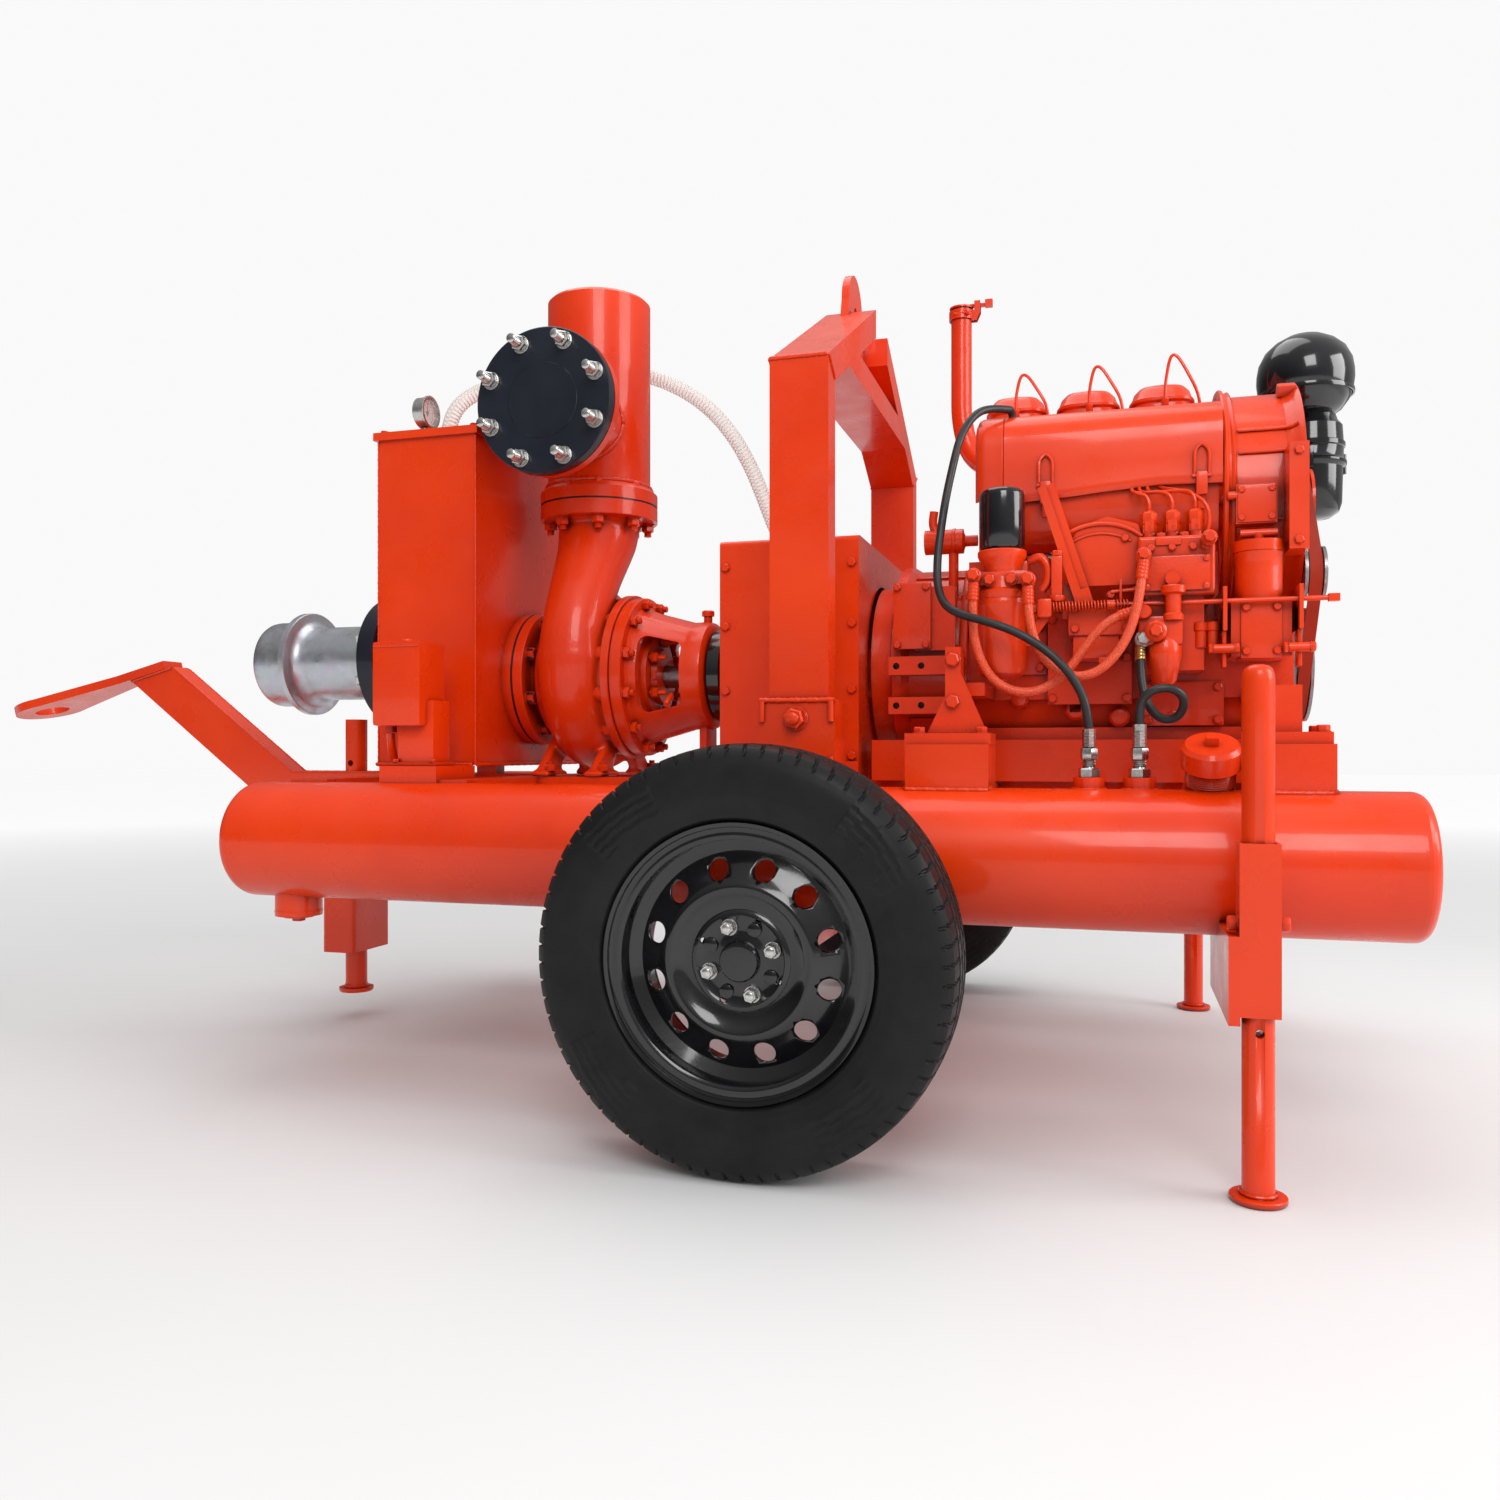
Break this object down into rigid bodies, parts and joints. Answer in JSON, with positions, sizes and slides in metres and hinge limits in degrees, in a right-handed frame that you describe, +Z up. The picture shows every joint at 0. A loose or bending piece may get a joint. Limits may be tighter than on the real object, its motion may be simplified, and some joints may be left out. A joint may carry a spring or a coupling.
{
  "type": "trailer-mounted fire pump",
  "caption": "Two-wheel towed fire pump: diesel engine driving a vacuum-primed centrifugal pump on two long fuel pipes, with jack legs and a lifting frame.",
  "frame": {"origin": "ground point under the middle of the wheel axle, on the centreline", "axes": "+X along the trailer from the tow eye to the fan end of the engine, +Y to the exhaust side, +Z up"},
  "size_m": [3.0904, 1.575, 1.604],
  "materials": {
    "orange_enamel": "glossy orange-red enamel on steel",
    "cast_orange": "glossy orange-red enamel on rough castings",
    "black_enamel": "satin black enamel",
    "gloss_black_enamel": "gloss black enamel",
    "tyre_rubber": "matt tread rubber",
    "black_rubber": "satin black rubber",
    "red_rubber": "braided hose sprayed with the enamel",
    "clear_hose": "clear plastic with a steel wire helix",
    "galvanised_steel": "galvanised, slightly mottled",
    "zinc_plate": "bright zinc plating",
    "bare_steel": "machined steel"
  },
  "bodies": {
    "root": {"air_cleaner": "gloss_black_enamel", "axle_beam": "orange_enamel", "black_flange_rings": "black_enamel", "blind_flange": "black_enamel", "chassis_members": "orange_enamel", "coupling_guard": "orange_enamel", "crankcase": "cast_orange", "drawbar": "orange_enamel", "engine_cowl": "orange_enamel", "engine_cylinders": "cast_orange", "engine_mounts": "orange_enamel", "exhaust_pipe": "orange_enamel", "fan_belt": "black_rubber", "fan_housing": "orange_enamel", "far_side_pipe": "orange_enamel", "feed_hose": "black_rubber", "filter_head": "orange_enamel", "flywheel_housing": "cast_orange", "fuel_filter": "gloss_black_enamel", "fuel_hoses": "red_rubber", "fuel_tank_pipe": "orange_enamel", "injection_pump": "orange_enamel", "jack_sockets": "orange_enamel", "junction_box": "orange_enamel", "lifting_frame": "orange_enamel", "painted_fasteners": "orange_enamel", "pipe_end_caps": "orange_enamel", "priming_tank": "orange_enamel", "priming_tank_lid": "orange_enamel", "pump_bracket": "cast_orange", "pump_casing": "cast_orange", "return_hose": "black_rubber", "riser_pipe": "orange_enamel", "rocker_covers": "orange_enamel", "suction_coupling": "galvanised_steel", "tow_eye": "orange_enamel", "vacuum_gauge": "zinc_plate", "vacuum_hose": "clear_hose", "vacuum_pump": "orange_enamel", "zinc_fittings": "zinc_plate"},
    "wheel_near": {"wheel_rim_near": "black_enamel", "tyre_near": "tyre_rubber", "wheel_nuts_near": "zinc_plate"},
    "wheel_far": {"wheel_rim_far": "black_enamel", "tyre_far": "tyre_rubber", "wheel_nuts_far": "zinc_plate"},
    "jack_near": {"jack_leg_near": "orange_enamel"},
    "jack_far": {"jack_leg_far": "orange_enamel"},
    "jockey": {"jockey_leg": "orange_enamel"},
    "shaft_line": {"pump_rotor": "bare_steel", "flywheel": "black_enamel", "crank_pulley": "bare_steel"},
    "fan": {"cooling_fan": "orange_enamel"},
    "idler": {"idler_pulley": "bare_steel"},
    "rain_cap": {"rain_cap": "orange_enamel"},
    "fuel_cap": {"fuel_cap": "orange_enamel"},
    "oil_cap": {"oil_cap": "orange_enamel"},
    "throttle": {"throttle_lever": "orange_enamel"},
    "governor_rod": {"control_rod": "orange_enamel"},
    "needle": {"gauge_needle": "zinc_plate"}
  },
  "joints": [
    {"name": "wheel_near_spin", "type": "hinge", "parent": "root", "child": "wheel_near", "pos_m": [0, -0.705, 0.31], "axis": [0, 1, 0], "continuous": true},
    {"name": "wheel_far_spin", "type": "hinge", "parent": "root", "child": "wheel_far", "pos_m": [0, 0.705, 0.31], "axis": [0, 1, 0], "continuous": true},
    {"name": "jack_near_slide", "type": "slide", "parent": "root", "child": "jack_near", "axis": [0, 0, 1], "range_m": [0, 0.22]},
    {"name": "jack_far_slide", "type": "slide", "parent": "root", "child": "jack_far", "axis": [0, 0, 1], "range_m": [0, 0.22]},
    {"name": "jockey_slide", "type": "slide", "parent": "root", "child": "jockey", "axis": [0, 0, 1], "range_m": [-0.056, 0.04]},
    {"name": "shaft_spin", "type": "hinge", "parent": "root", "child": "shaft_line", "pos_m": [0, 0, 0.765], "axis": [1, 0, 0], "continuous": true},
    {"name": "fan_spin", "type": "hinge", "parent": "root", "child": "fan", "pos_m": [0.8, -0.05, 1.045], "axis": [1, 0, 0], "continuous": true},
    {"name": "idler_spin", "type": "hinge", "parent": "root", "child": "idler", "pos_m": [0.828, -0.19, 0.905], "axis": [1, 0, 0], "continuous": true},
    {"name": "rain_cap_hinge", "type": "hinge", "parent": "root", "child": "rain_cap", "pos_m": [0.225, 0.3, 1.59], "axis": [0, 1, 0], "range_deg": [0, 45]},
    {"name": "fuel_cap_turn", "type": "hinge", "parent": "root", "child": "fuel_cap", "pos_m": [0.65, -0.43817, 0.59798], "axis": [0, -0.4695, 0.8829], "range_deg": [0, 180]},
    {"name": "oil_cap_turn", "type": "hinge", "parent": "root", "child": "oil_cap", "pos_m": [0.735, -0.275, 0.94], "axis": [0, 0, 1], "range_deg": [0, 180]},
    {"name": "throttle_hinge", "type": "hinge", "parent": "root", "child": "throttle", "pos_m": [0.466, -0.303, 0.857], "axis": [0, 1, 0], "range_deg": [-5, 25]},
    {"name": "governor_slide", "type": "slide", "parent": "root", "child": "governor_rod", "axis": [1, 0, 0], "range_m": [-0.006, 0.006]},
    {"name": "needle_hinge", "type": "hinge", "parent": "root", "child": "needle", "pos_m": [-0.834, -0.228, 1.299], "axis": [1, 0, 0], "range_deg": [-135, 135]}
  ],
  "couplings": [
    {"joint": "fan_spin", "follows": "shaft_spin", "ratio": 1.7273},
    {"joint": "idler_spin", "follows": "shaft_spin", "ratio": 2.6389},
    {"joint": "governor_slide", "follows": "throttle_hinge", "m_per_rad": -0.012}
  ]
}
